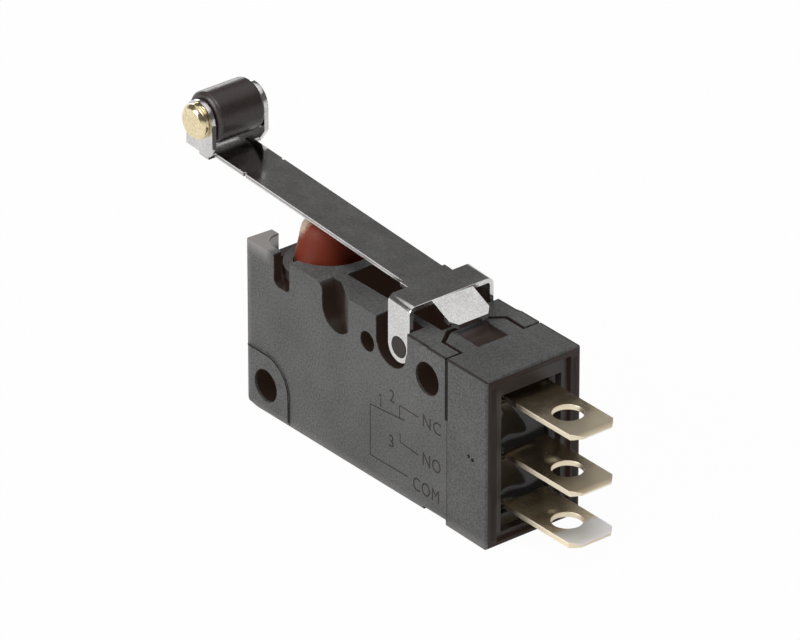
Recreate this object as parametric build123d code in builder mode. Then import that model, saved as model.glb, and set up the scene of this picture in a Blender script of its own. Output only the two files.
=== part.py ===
from build123d import *
from math import atan, cos, radians, tan
import os

os.makedirs("parts", exist_ok=True)

# Sealed snap action switch with a hinged roller lever. Millimetres, X towards the terminals,
# front face towards -Y, Z up. The origin is the middle of the two mounting holes, at half the
# thickness. Every length and height below is measured from the left mounting hole.

# mounting
hole_span = 22.2
hole_rise = 10.3
hole_r = 1.55
thickness = 10.3
pad_proud = 0.15

# case
case_left = -2.8
case_low = -2.8
case_top = 13.35
case_end = 24.7
wall = 1.2
side_wall = 1.1
roof = 7.6
corner_r = 1.5
edge_r = 0.5
left_pad_r = 3.2
right_pad_r = 3.0
right_pad_low = 7.37
boss_r = 2.75
seam = 0.1
heel_x = 22.2
heel = 0.25

# boot well and what opens it
plunger_x = 2.48
well_r = 4.15
well_corner = 1.6
well_floor = 10.35
slot_left = 1.03
slot_right = 3.22
slot_r = 0.6
window_half = 2.3
window_low = 11.0

# pocket and notches under the lever
pocket_left = 7.85
pocket_right = 20.65
pocket_half = 2.3
pocket_floor = 9.3
pocket_slope = 0.95
notch_r = 2.0
wedge_x = 9.72
wedge_z = 11.36
wedge_depth = 1.65
wedge_flat = 0.8
lip_r = 0.9
vent_x = 13.91
vent_z = 10.32
vent_r = 0.95
notch_x = 17.2
notch_z = 11.37
lever_notch_r = 2.12
notch_floor = 3.1

# lever pivot
pivot_x = 17.7
pivot_z = 11.26
peg_r = 0.95
peg_reach = 4.65
pivot_clear = 0.05

# end block
end_x = 30.2
end_low = -2.95
sleeve_side = 1.15
sleeve_top = 0.6
sleeve_low = 0.5
end_r = 0.35
tongue_left = 21.4
tongue_half = 3.25
tongue_nose_half = 1.9
tongue_nose = 1.0
tongue_thick = 0.95
tongue_gap = 0.4
dip_half = 1.7
dip_left = 21.7
dip_ramp = 0.75
dip_depth = 0.5

# terminal base, gasket and sealing compound
base_recess = 0.4
plug_left = 22.4
plug_clear = 0.05
gasket_wide = 0.5
gasket_thick = 0.4
rim_side = 0.75
rim_top = 1.45
rim_low = 0.55
seal_sink = 1.4
seal_deep = 1.9

# terminals and contacts
tab_wide = 4.75
tab_thick = 0.5
tab_end = 38.5
tab_corner = 0.8
tab_bevel = 0.65
tab_bevel_drop = 0.15
tab_hole_x = 34.65
tab_hole_r = 1.4
tab_root = 25.4
nc_out = 10.43
no_out = 5.0
com_out = 0.0
arm_wide = 4.0
nc_in = 7.0
no_in = 3.95
arm_left = 19.0
com_left = 4.0
contact_x = 20.5
contact_r = 1.0
contact_tall = 0.43
mover_low = 5.2
mover_high = 6.3
blade_low = 5.6
blade_thick = 0.25

# blade anchor
anchor_sheet = 0.4
anchor_wide = 5.6
anchor_right = 7.0
anchor_rise_x = 3.6
anchor_shelf = 3.3
anchor_x = -1.1
anchor_top = 6.4
blade_half = 3.2
window_right = 9.0
leg = 1.15
blade_tip_half = 1.4
hook_drop = 1.5
bead_r = 0.2
spring_foot = 0.9
spring_sheet = 0.25
spring_bow = 0.2
spring_crest = 0.3
spring_clear = 0.01

# plunger and boot
plunger_r = 1.3
plunger_low = 7.0
collar_r = 1.9
collar_tall = 0.5
plunger_nose = 0.4
guide_clear = 0.05
guide_r = 1.9
guide_flange_r = 2.3
guide_flange = 0.4
boot_r = 3.05
boot_flange_r = 3.9
boot_flange = 0.4
boot_top = 16.1
boot_wall = 0.6
boot_crown_r = 1.4
boot_crown = 0.08
boot_shoulder_r = 2.28
boot_shoulder = 0.7
boot_skirt = 4.1
ring_in = 3.15
ring_out = 4.05
ring_top = 11.65

# lever
sheet = 0.4
lever_x = 2.0
lever_z = 16.62
lever_fall = 0.062
strip_half = 2.15
neck_half = 2.45
neck_left = 15.2
ear_out = 4.6
ear_r = 1.45
ear_bend_r = 0.65
rear_bend_x = 19.2
rear_angle = 24.0
rear_end_x = 22.1
rear_half = 2.2
rear_corner = 0.6
yoke_x = -11.74
yoke_z = 20.53
yoke_r = 1.85
yoke_out = 3.1
yoke_sheet = 0.45
yoke_floor_x = -11.75
yoke_lift = 0.45
yoke_tuck = 0.2
yoke_nip = 0.8
yoke_nip_rise = 0.9
nick_x = -6.6
nick = 0.15

# roller
roller_r = 2.4
roller_half = 2.5
roller_edge = 0.3
pin_r = 0.9
pin_head_r = 1.65
pin_head = 0.85
pin_chamfer = 0.34
pin_back_chamfer = 0.2
pin_tail_r = 1.3
pin_tail = 0.4
roller_clear = 0.05

half = thickness / 2
body_half = half - pad_proud
cavity_half = body_half - side_wall
cavity_left = case_left + wall + 0.05
cavity_low = case_low + wall
bore_half = half - sleeve_side
face_x = end_x - base_recess
seal_right = face_x - seal_sink
seal_left = seal_right - seal_deep
blade_mid = blade_low + blade_thick / 2
fall = atan(lever_fall)
seal_low = end_low + sleeve_low + rim_low
seal_high = case_top - sleeve_top - rim_top


def side(y):
    return Plane(origin=(-hole_span / 2, y, -hole_rise / 2), x_dir=(1, 0, 0), z_dir=(0, -1, 0))


def level(z):
    return Plane(origin=(-hole_span / 2, 0, z - hole_rise / 2), z_dir=(0, 0, 1))


def section(x):
    return Plane(origin=(x - hole_span / 2, 0, -hole_rise / 2), x_dir=(0, 1, 0), z_dir=(1, 0, 0))


def block(left, right, low, high):
    with Locations(((left + right) / 2, (low + high) / 2)):
        Rectangle(right - left, high - low)


def strip_top(x):
    return lever_z - lever_fall * (x - lever_x)


def strip_under(x):
    return strip_top(x) - sheet / cos(fall)


# empty wedge-shaped notch, cut where the U seen from the front meets the wedge seen from above
with BuildPart() as wedge_notch:
    with BuildSketch(side(0)):
        with Locations((wedge_x, wedge_z)):
            Circle(notch_r)
        block(wedge_x - notch_r, wedge_x + notch_r, wedge_z, case_top + 1)
    extrude(amount=half + 1)
    # its rounded left lip
    with BuildSketch(side(0)):
        block(wedge_x - notch_r - lip_r, wedge_x - notch_r, case_top - lip_r, case_top + 1)
        with Locations((wedge_x - notch_r - lip_r, case_top - lip_r)):
            Circle(lip_r, mode=Mode.SUBTRACT)
    extrude(amount=half + 1)
    with BuildSketch(level(pocket_floor - 1)):
        with BuildLine():
            Polyline(
                (wedge_x - notch_r - lip_r, -half - 0.5),
                (wedge_x - notch_r - lip_r, wedge_depth - half),
                (wedge_x - notch_r + wedge_flat, wedge_depth - half),
                (wedge_x + notch_r, -half - 0.02),
                (wedge_x + notch_r, -half - 0.5),
                close=True,
            )
        make_face()
    extrude(amount=case_top, mode=Mode.INTERSECT)
    mirror(about=Plane.XZ)

with BuildPart() as case:
    # outer block with the mounting pads raised on both faces
    with BuildSketch(side(0)) as outline:
        block(case_left, case_end, case_low, case_top)
        fillet(vertices().sort_by_distance((case_left, case_low))[0], corner_r)
    extrude(amount=body_half, both=True)
    with BuildSketch(side(0)):
        Circle(left_pad_r)
        block(case_left, 0.2, case_low, left_pad_r)
        block(0, left_pad_r - 0.05, case_low, 0)
        with Locations((hole_span, hole_rise)):
            Circle(right_pad_r)
        block(hole_span, case_end, right_pad_low, case_top)
        add(outline.sketch_local, mode=Mode.INTERSECT)
    extrude(amount=half, both=True)
    with BuildSketch(level(case_low)):
        block(case_left, case_end, -half, half)
        fillet(vertices().group_by(Axis.X)[0], edge_r)
    extrude(amount=case_top - case_low, mode=Mode.INTERSECT)
    # shallow step under the end of the case
    with BuildSketch(side(0)):
        block(heel_x, case_end, case_low, case_low + heel)
    extrude(amount=half, both=True, mode=Mode.SUBTRACT)
    # cavity open towards the end block, with the boss of the left mounting hole
    with BuildSketch(side(0)):
        block(cavity_left, case_end, cavity_low, roof)
    extrude(amount=cavity_half, both=True, mode=Mode.SUBTRACT)
    with BuildSketch(side(0)):
        Circle(boss_r)
    extrude(amount=cavity_half, both=True)
    with BuildSketch(section(case_end)):
        block(-cavity_half - gasket_wide, cavity_half + gasket_wide,
              cavity_low - gasket_wide, roof + gasket_wide)
    extrude(amount=-gasket_thick, mode=Mode.SUBTRACT)
    # well for the boot, round towards the pocket and squared off at the end wall
    with BuildSketch(level(well_floor)):
        block(plunger_x - well_r, plunger_x, -well_r, well_r)
        fillet(vertices().group_by(Axis.X)[0], well_corner)
        with Locations((plunger_x, 0)):
            Circle(well_r)
    extrude(amount=case_top, mode=Mode.SUBTRACT)
    # slot through both faces, and the opening in the end wall
    with BuildSketch(side(0)):
        block(slot_left, slot_right, well_floor, case_top + slot_r)
        fillet(vertices().group_by(Axis.Y)[0], slot_r)
    extrude(amount=thickness, both=True, mode=Mode.SUBTRACT)
    with BuildSketch(level(window_low)):
        block(case_left - 1, 0, -window_half, window_half)
    extrude(amount=case_top, mode=Mode.SUBTRACT)
    with BuildSketch(level(roof - 1)):
        with Locations((plunger_x, 0)):
            Circle(guide_r)
    extrude(amount=case_top, mode=Mode.SUBTRACT)
    # pocket under the lever, its far wall sloping clear of the right mounting hole
    with BuildSketch(side(0)):
        with BuildLine():
            Polyline(
                (pocket_left, case_top + 1),
                (pocket_left, pocket_floor),
                (pocket_right - pocket_slope, pocket_floor),
                (pocket_right - pocket_slope, case_top - 2 * pocket_slope),
                (pocket_right, case_top),
                (pocket_right, case_top + 1),
                close=True,
            )
        make_face()
    extrude(amount=pocket_half, both=True, mode=Mode.SUBTRACT)
    with BuildSketch(side(0)):
        with Locations((vent_x, vent_z)):
            Circle(vent_r)
    extrude(amount=thickness, both=True, mode=Mode.SUBTRACT)
    # notches on both faces, the right one with the peg the lever turns on
    add(wedge_notch.part, mode=Mode.SUBTRACT)
    with BuildSketch(side(-half)):
        with Locations((notch_x, notch_z)):
            Circle(lever_notch_r)
        block(notch_x - lever_notch_r, notch_x + lever_notch_r, notch_z, case_top + 1)
    extrude(amount=notch_floor - half, mode=Mode.SUBTRACT)
    with BuildSketch(side(half)):
        with Locations((notch_x, notch_z)):
            Circle(lever_notch_r)
        block(notch_x - lever_notch_r, notch_x + lever_notch_r, notch_z, case_top + 1)
    extrude(amount=half - notch_floor, mode=Mode.SUBTRACT)
    with BuildSketch(side(-notch_floor)):
        with Locations((pivot_x, pivot_z)):
            Circle(peg_r)
    extrude(amount=peg_reach - notch_floor)
    with BuildSketch(side(notch_floor)):
        with Locations((pivot_x, pivot_z)):
            Circle(peg_r)
    extrude(amount=notch_floor - peg_reach)
    # shallow seat for the tongue of the end block, and the open seam
    with BuildSketch(level(case_top - tongue_thick)):
        with BuildLine():
            Polyline(
                (case_end, -tongue_half - tongue_gap),
                (tongue_left + tongue_nose - tongue_gap / 2, -tongue_half - tongue_gap),
                (tongue_left - tongue_gap, -tongue_nose_half - tongue_gap / 2),
                (tongue_left - tongue_gap, tongue_nose_half + tongue_gap / 2),
                (tongue_left + tongue_nose - tongue_gap / 2, tongue_half + tongue_gap),
                (case_end, tongue_half + tongue_gap),
                close=True,
            )
        make_face()
    extrude(amount=case_top, mode=Mode.SUBTRACT)
    with BuildSketch(side(0)):
        block(case_end - seam, case_end, right_pad_low, case_top)
    extrude(amount=thickness, both=True, mode=Mode.SUBTRACT)
    # mounting holes through the whole thickness
    with BuildSketch(side(0)):
        with Locations((0, 0), (hole_span, hole_rise)):
            Circle(hole_r)
    extrude(amount=thickness, both=True, mode=Mode.SUBTRACT)
case.part.label = "case"
export_step(case.part, "parts/case.step")

with BuildPart() as end_block:
    # sleeve around the terminal base, left open through its middle
    with BuildSketch(side(0)):
        block(case_end, end_x, end_low, right_pad_low)
        block(case_end + seam, end_x, end_low, case_top)
    extrude(amount=half, both=True)
    fillet(faces().sort_by(Axis.X)[-1].edges(), end_r)
    with BuildSketch(section(case_end - 1)):
        block(-bore_half, bore_half, end_low + sleeve_low, case_top - sleeve_top)
    extrude(amount=end_x, mode=Mode.SUBTRACT)
    # tongue that lies in the seat on top of the case, with its ramp and shallow dip
    with BuildSketch(level(case_top)):
        with BuildLine():
            Polyline(
                (case_end + 1, -tongue_half),
                (tongue_left + tongue_nose, -tongue_half),
                (tongue_left, -tongue_nose_half),
                (tongue_left, tongue_nose_half),
                (tongue_left + tongue_nose, tongue_half),
                (case_end + 1, tongue_half),
                close=True,
            )
        make_face()
    extrude(amount=-tongue_thick)
    with BuildSketch(side(0)):
        with BuildLine():
            Polyline(
                (dip_left, case_top),
                (dip_left + dip_ramp, case_top - dip_depth),
                (case_end + seam, case_top - dip_depth),
                (case_end + seam, case_top),
                close=True,
            )
        make_face()
    extrude(amount=dip_half, both=True, mode=Mode.SUBTRACT)
end_block.part.label = "end_block"
export_step(end_block.part, "parts/end_block.step")

# one flat terminal tab, moved to the three heights below
with BuildPart() as tab:
    with BuildSketch(level(0)):
        block(tab_root, tab_end, -tab_wide / 2, tab_wide / 2)
        chamfer(vertices().group_by(Axis.X)[-1], tab_corner)
        with Locations((tab_hole_x, 0)):
            Circle(tab_hole_r, mode=Mode.SUBTRACT)
    extrude(amount=tab_thick / 2, both=True)
    with BuildSketch(side(0)):
        with BuildLine():
            Polyline(
                (tab_end - tab_bevel, tab_thick / 2),
                (tab_end, tab_thick / 2 - tab_bevel_drop),
                (tab_end, tab_thick / 2),
                close=True,
            )
        make_face()
        mirror(about=Plane.XZ)
    extrude(amount=tab_wide, both=True, mode=Mode.SUBTRACT)

with BuildPart() as terminal_nc:
    with Locations((0, 0, nc_out)):
        add(tab.part)
    with BuildSketch(side(0)):
        block(tab_root, tab_root + tab_thick, nc_in - tab_thick / 2, nc_out + tab_thick / 2)
        block(arm_left, tab_root + tab_thick, nc_in - tab_thick / 2, nc_in + tab_thick / 2)
    extrude(amount=arm_wide / 2, both=True)
terminal_nc.part.label = "terminal_nc"
export_step(terminal_nc.part, "parts/terminal_nc.step")

with BuildPart() as terminal_no:
    with Locations((0, 0, no_out)):
        add(tab.part)
    with BuildSketch(side(0)):
        block(tab_root, tab_root + tab_thick, no_in - tab_thick / 2, no_out + tab_thick / 2)
        block(arm_left, tab_root + tab_thick, no_in - tab_thick / 2, no_in + tab_thick / 2)
    extrude(amount=arm_wide / 2, both=True)
terminal_no.part.label = "terminal_no"
export_step(terminal_no.part, "parts/terminal_no.step")

with BuildPart() as terminal_com:
    with Locations((0, 0, com_out)):
        add(tab.part)
    with BuildSketch(side(0)):
        block(com_left, tab_root + tab_thick, com_out - tab_thick / 2, com_out + tab_thick / 2)
    extrude(amount=arm_wide / 2, both=True)
terminal_com.part.label = "terminal_com"
export_step(terminal_com.part, "parts/terminal_com.step")

with BuildPart() as terminal_base:
    # block inside the sleeve and plug inside the case, moulded round the three terminals
    with BuildSketch(section(case_end)):
        block(-bore_half, bore_half, end_low + sleeve_low, case_top - sleeve_top)
    extrude(amount=face_x - case_end)
    with BuildSketch(section(plug_left)):
        block(-cavity_half + plug_clear, cavity_half - plug_clear, cavity_low + plug_clear, roof - plug_clear)
    extrude(amount=case_end - plug_left)
    with BuildSketch(section(seal_left)):
        block(rim_side - bore_half, bore_half - rim_side, seal_low, seal_high)
    extrude(amount=end_x, mode=Mode.SUBTRACT)
    with BuildSketch(level(case_top)):
        block(case_end, case_end + seam, -half, half)
    extrude(amount=-tongue_thick, mode=Mode.SUBTRACT)
    add(terminal_nc.part, mode=Mode.SUBTRACT)
    add(terminal_no.part, mode=Mode.SUBTRACT)
    add(terminal_com.part, mode=Mode.SUBTRACT)
    add(end_block.part, mode=Mode.SUBTRACT)
terminal_base.part.label = "terminal_base"
export_step(terminal_base.part, "parts/terminal_base.step")

with BuildPart() as potting_seal:
    with BuildSketch(section(seal_left)):
        block(rim_side - bore_half, bore_half - rim_side, seal_low, seal_high)
    extrude(amount=seal_right - seal_left)
    add(terminal_nc.part, mode=Mode.SUBTRACT)
    add(terminal_no.part, mode=Mode.SUBTRACT)
    add(terminal_com.part, mode=Mode.SUBTRACT)
potting_seal.part.label = "potting_seal"
export_step(potting_seal.part, "parts/potting_seal.step")

with BuildPart() as case_gasket:
    with BuildSketch(section(case_end)):
        block(-cavity_half - gasket_wide, cavity_half + gasket_wide,
              cavity_low - gasket_wide, roof + gasket_wide)
        with Locations((0, (cavity_low + roof) / 2)):
            Rectangle(2 * cavity_half, roof - cavity_low, mode=Mode.SUBTRACT)
    extrude(amount=-gasket_thick)
    with BuildSketch(side(0)):
        block(case_end - seam, case_end, right_pad_low, case_top)
    extrude(amount=thickness, both=True, mode=Mode.SUBTRACT)
case_gasket.part.label = "case_gasket"
export_step(case_gasket.part, "parts/case_gasket.step")

# fixed contacts riveted to the two arms
nc_face = nc_in - tab_thick / 2
no_face = no_in + tab_thick / 2
with BuildPart() as contact_nc:
    with BuildSketch(level(nc_face)):
        with Locations((contact_x, 0)):
            Circle(contact_r)
    extrude(amount=-contact_tall)
    chamfer(edges().group_by(Axis.Z)[0], contact_tall / 4)
contact_nc.part.label = "contact_nc"
export_step(contact_nc.part, "parts/contact_nc.step")

with BuildPart() as contact_no:
    with BuildSketch(level(no_face)):
        with Locations((contact_x, 0)):
            Circle(contact_r)
    extrude(amount=contact_tall)
    chamfer(edges().group_by(Axis.Z)[-1], contact_tall / 4)
contact_no.part.label = "contact_no"
export_step(contact_no.part, "parts/contact_no.step")

with BuildPart() as blade_anchor:
    # foot on the common strip, step over the boss, and the upright with the groove the blade turns in
    with BuildSketch(side(0)):
        foot = com_out + tab_thick / 2
        block(anchor_rise_x, anchor_right, foot, foot + anchor_sheet)
        block(anchor_rise_x, anchor_rise_x + anchor_sheet, foot, anchor_shelf)
        block(anchor_x, anchor_rise_x + anchor_sheet, anchor_shelf - anchor_sheet, anchor_shelf)
        block(anchor_x - anchor_sheet, anchor_x, anchor_shelf - anchor_sheet, anchor_top)
        with Locations((anchor_x, blade_mid)):
            Circle(bead_r + pivot_clear, mode=Mode.SUBTRACT)
    extrude(amount=anchor_wide / 2, both=True)
blade_anchor.part.label = "blade_anchor"
export_step(blade_anchor.part, "parts/blade_anchor.step")

with BuildPart() as moving_blade:
    # frame with a window for the plunger, arm to the moving contact, hook for the snap spring,
    # and the rolled bead it turns on
    with BuildSketch(level(blade_low)):
        with BuildLine():
            Polyline(
                (anchor_x + pivot_clear, -blade_half),
                (window_right, -blade_half),
                (contact_x + blade_tip_half, -blade_tip_half),
                (contact_x + blade_tip_half, blade_tip_half),
                (window_right, blade_half),
                (anchor_x + pivot_clear, blade_half),
                close=True,
            )
        make_face()
        with Locations(((window_right + 0.2) / 2, 0)):
            Rectangle(window_right - 0.2, 2 * (blade_half - leg), mode=Mode.SUBTRACT)
        with Locations((contact_x, 0)):
            Circle(contact_r / 2, mode=Mode.SUBTRACT)
    extrude(amount=blade_thick)
    with BuildSketch(level(blade_low)):
        block(window_right, window_right + blade_thick, leg - blade_half, blade_half - leg)
    extrude(amount=-hook_drop)
    with BuildSketch(side(0)):
        with Locations((anchor_x, blade_mid)):
            Circle(bead_r)
    extrude(amount=blade_half, both=True)
moving_blade.part.label = "moving_blade"
export_step(moving_blade.part, "parts/moving_blade.step")

with BuildPart() as moving_contact:
    # double-faced rivet through the blade
    with BuildSketch(level(mover_low)):
        with Locations((contact_x, 0)):
            Circle(contact_r)
    extrude(amount=blade_low - mover_low)
    with BuildSketch(level(blade_low)):
        with Locations((contact_x, 0)):
            Circle(contact_r / 2)
    extrude(amount=blade_thick)
    with BuildSketch(level(blade_low + blade_thick)):
        with Locations((contact_x, 0)):
            Circle(contact_r)
    extrude(amount=mover_high - blade_low - blade_thick)
moving_contact.part.label = "moving_contact"
export_step(moving_contact.part, "parts/moving_contact.step")

spring_left = anchor_x + 2 * pivot_clear
spring_right = window_right - 2 * pivot_clear
foot_z = anchor_shelf + spring_foot
crest_z = plunger_low - spring_clear
knee_z = (foot_z + crest_z) / 2 + spring_bow
left_knee = (spring_left + plunger_x) / 2
right_knee = (spring_right + plunger_x) / 2
with BuildPart() as snap_spring:
    # arched leaf from the upright over to the blade hook, its crest under the plunger
    with BuildSketch(side(0)):
        with BuildLine():
            Polyline(
                (spring_left, foot_z),
                (left_knee, knee_z),
                (plunger_x - spring_crest, crest_z),
                (plunger_x + spring_crest, crest_z),
                (right_knee, knee_z),
                (spring_right, foot_z),
                (spring_right - 2 * spring_sheet, foot_z),
                (right_knee, knee_z - spring_sheet),
                (plunger_x + spring_crest, crest_z - spring_sheet),
                (plunger_x - spring_crest, crest_z - spring_sheet),
                (left_knee, knee_z - spring_sheet),
                (spring_left + spring_sheet, foot_z),
                close=True,
            )
        make_face()
    extrude(amount=plunger_r, both=True)
snap_spring.part.label = "snap_spring"
export_step(snap_spring.part, "parts/snap_spring.step")

with BuildPart() as plunger:
    # push rod with the collar that keeps it in the case
    with BuildSketch(level(plunger_low)):
        with Locations((plunger_x, 0)):
            Circle(collar_r)
    extrude(amount=collar_tall)
    with BuildSketch(level(plunger_low)):
        with Locations((plunger_x, 0)):
            Circle(plunger_r)
    extrude(amount=boot_top - boot_wall - guide_clear - plunger_low)
    chamfer(edges().group_by(Axis.Z)[-1], plunger_nose)
plunger.part.label = "plunger"
export_step(plunger.part, "parts/plunger.step")

with BuildPart() as plunger_guide:
    # flanged sleeve pressed into the well floor
    with BuildSketch(level(roof)):
        with Locations((plunger_x, 0)):
            Circle(guide_r)
    extrude(amount=well_floor - roof)
    with BuildSketch(level(well_floor)):
        with Locations((plunger_x, 0)):
            Circle(guide_flange_r)
    extrude(amount=guide_flange)
    with BuildSketch(level(roof)):
        with Locations((plunger_x, 0)):
            Circle(plunger_r + guide_clear)
    extrude(amount=case_top, mode=Mode.SUBTRACT)
plunger_guide.part.label = "plunger_guide"
export_step(plunger_guide.part, "parts/plunger_guide.step")

with BuildPart() as rubber_boot:
    # tapered cap over the plunger, turned round the plunger axis, with its flange in the well
    with BuildSketch(side(0).shift_origin((plunger_x - hole_span / 2, 0, -hole_rise / 2))):
        with BuildLine():
            Polyline(
                (0, boot_top),
                (boot_crown_r, boot_top - boot_crown),
                (boot_shoulder_r, boot_top - boot_shoulder),
                (boot_r, boot_top - boot_skirt),
                (boot_r, well_floor + boot_flange),
                (boot_flange_r, well_floor + boot_flange),
                (boot_flange_r, well_floor),
                (boot_r - boot_wall, well_floor),
                (boot_r - boot_wall, boot_top - boot_skirt),
                (boot_shoulder_r - boot_wall, boot_top - boot_wall),
                (0, boot_top - boot_wall),
                close=True,
            )
        make_face()
    revolve(axis=Axis((plunger_x - hole_span / 2, 0, 0), (0, 0, 1)))
rubber_boot.part.label = "rubber_boot"
export_step(rubber_boot.part, "parts/rubber_boot.step")

with BuildPart() as boot_retainer:
    # ring that clamps the boot flange in the well
    with BuildSketch(level(well_floor + boot_flange)):
        with Locations((plunger_x, 0)):
            Circle(ring_out)
            Circle(ring_in, mode=Mode.SUBTRACT)
    extrude(amount=ring_top - well_floor - boot_flange)
boot_retainer.part.label = "boot_retainer"
export_step(boot_retainer.part, "parts/boot_retainer.step")

# lever: one bent sheet, strip and rear tab from the side view, outline from above
rear = radians(rear_angle)
rear_end_z = strip_top(rear_bend_x) - (rear_end_x - rear_bend_x) * tan(rear)
under_rear = sheet / cos(rear)
under_bend_x = rear_bend_x + (strip_top(0) - strip_under(0) - under_rear) / (tan(rear) - lever_fall)
yoke_left = yoke_x - yoke_r
yoke_right = yoke_x + yoke_r
with BuildPart() as lever:
    with BuildSketch(side(0)):
        with BuildLine():
            Polyline(
                (yoke_floor_x, strip_top(yoke_floor_x)),
                (rear_bend_x, strip_top(rear_bend_x)),
                (rear_end_x, rear_end_z),
                (rear_end_x, rear_end_z - under_rear),
                (under_bend_x, strip_under(under_bend_x)),
                (yoke_floor_x, strip_under(yoke_floor_x)),
                close=True,
            )
        make_face()
        fillet(vertices().sort_by_distance((rear_bend_x, strip_top(rear_bend_x)))[0], 2 * sheet)
        fillet(vertices().sort_by_distance((under_bend_x, strip_under(under_bend_x)))[0], sheet)
    extrude(amount=ear_out, both=True)
    with BuildSketch(level(case_top)):
        block(yoke_floor_x, yoke_right - yoke_nip, yoke_tuck - yoke_out, yoke_out - yoke_tuck)
        block(yoke_floor_x, neck_left, -strip_half, strip_half)
        block(neck_left, pivot_x, -neck_half, neck_half)
        block(pivot_x - ear_r, pivot_x + ear_r, -ear_out, ear_out)
        with Locations((nick_x, -strip_half), (nick_x, strip_half)):
            Rectangle(2 * nick, 2 * nick, mode=Mode.SUBTRACT)
        with BuildLine():
            Polyline(
                (pivot_x, -rear_half),
                (rear_end_x - rear_corner, -rear_half),
                (rear_end_x, rear_corner - rear_half),
                (rear_end_x, rear_half - rear_corner),
                (rear_end_x - rear_corner, rear_half),
                (pivot_x, rear_half),
                close=True,
            )
        make_face()
    extrude(amount=yoke_z, mode=Mode.INTERSECT)
    # ears down to the pivot pegs
    with BuildSketch(side(-ear_out)):
        with Locations((pivot_x, pivot_z)):
            Circle(ear_r)
        with BuildLine():
            Polyline(
                (pivot_x - ear_r, pivot_z),
                (pivot_x + ear_r, pivot_z),
                (pivot_x + ear_r, strip_top(pivot_x + ear_r)),
                (pivot_x - ear_r, strip_top(pivot_x - ear_r)),
                close=True,
            )
        make_face()
        with Locations((pivot_x, pivot_z)):
            Circle(peg_r + pivot_clear, mode=Mode.SUBTRACT)
    extrude(amount=-sheet)
    # yoke ears round the roller, set down on the floor between them
    with BuildSketch(side(-yoke_out)):
        with Locations((yoke_x, yoke_z)):
            Circle(yoke_r)
        with BuildLine():
            Polyline(
                (yoke_left, yoke_z),
                (yoke_right, yoke_z),
                (yoke_right, strip_under(yoke_right) + yoke_lift + yoke_nip_rise),
                (yoke_right - yoke_nip, strip_under(yoke_right - yoke_nip) + yoke_tuck),
                (yoke_floor_x, strip_under(yoke_floor_x) + yoke_tuck),
                (yoke_floor_x, strip_under(yoke_floor_x) + yoke_lift),
                (yoke_left, strip_under(yoke_left) + yoke_lift),
                close=True,
            )
        make_face()
        with Locations((yoke_x, yoke_z)):
            Circle(pin_r, mode=Mode.SUBTRACT)
    extrude(amount=-yoke_sheet)
    mirror(about=Plane.XZ)
    outer_bend = edges().filter_by(
        lambda e: abs(abs(e.center().Y) - ear_out) < 0.01 and e.center().Z > strip_top(pivot_x) - 0.3 - hole_rise / 2
    )
    fillet(outer_bend, ear_bend_r)
    inner_bend = edges().filter_by(
        lambda e: abs(abs(e.center().Y) - ear_out + sheet) < 0.01
        and abs(e.center().Z - strip_under(pivot_x) + hole_rise / 2) < 0.1
    )
    fillet(inner_bend, ear_bend_r - sheet)
lever.part.label = "lever"
export_step(lever.part, "parts/lever.step")

with BuildPart() as roller:
    with BuildSketch(side(0)):
        with Locations((yoke_x, yoke_z)):
            Circle(roller_r)
    extrude(amount=roller_half, both=True)
    chamfer(edges(), roller_edge)
    with BuildSketch(side(0)):
        with Locations((yoke_x, yoke_z)):
            Circle(pin_r + roller_clear)
    extrude(amount=thickness, both=True, mode=Mode.SUBTRACT)
roller.part.label = "roller"
export_step(roller.part, "parts/roller.step")

with BuildPart() as roller_pin:
    # shank through the yoke, turned head at the front, riveted tail at the back
    with BuildSketch(side(0)):
        with Locations((yoke_x, yoke_z)):
            Circle(pin_r)
    extrude(amount=yoke_out, both=True)
    with BuildSketch(side(-yoke_out)):
        with Locations((yoke_x, yoke_z)):
            Circle(pin_head_r)
    extrude(amount=pin_head)
    chamfer(edges().group_by(Axis.Y)[0], pin_chamfer)
    neck_edge = edges().filter_by(GeomType.CIRCLE).filter_by(
        lambda e: abs(e.center().Y + yoke_out) < 0.01 and abs(e.radius - pin_head_r) < 0.01
    )
    chamfer(neck_edge, pin_back_chamfer)
    with BuildSketch(side(yoke_out)):
        with Locations((yoke_x, yoke_z)):
            Circle(pin_tail_r)
    extrude(amount=-pin_tail)
    chamfer(edges().group_by(Axis.Y)[-1], pin_tail / 2)
roller_pin.part.label = "roller_pin"
export_step(roller_pin.part, "parts/roller_pin.step")
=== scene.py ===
import math

import bpy
from mathutils import Matrix, Vector


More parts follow.
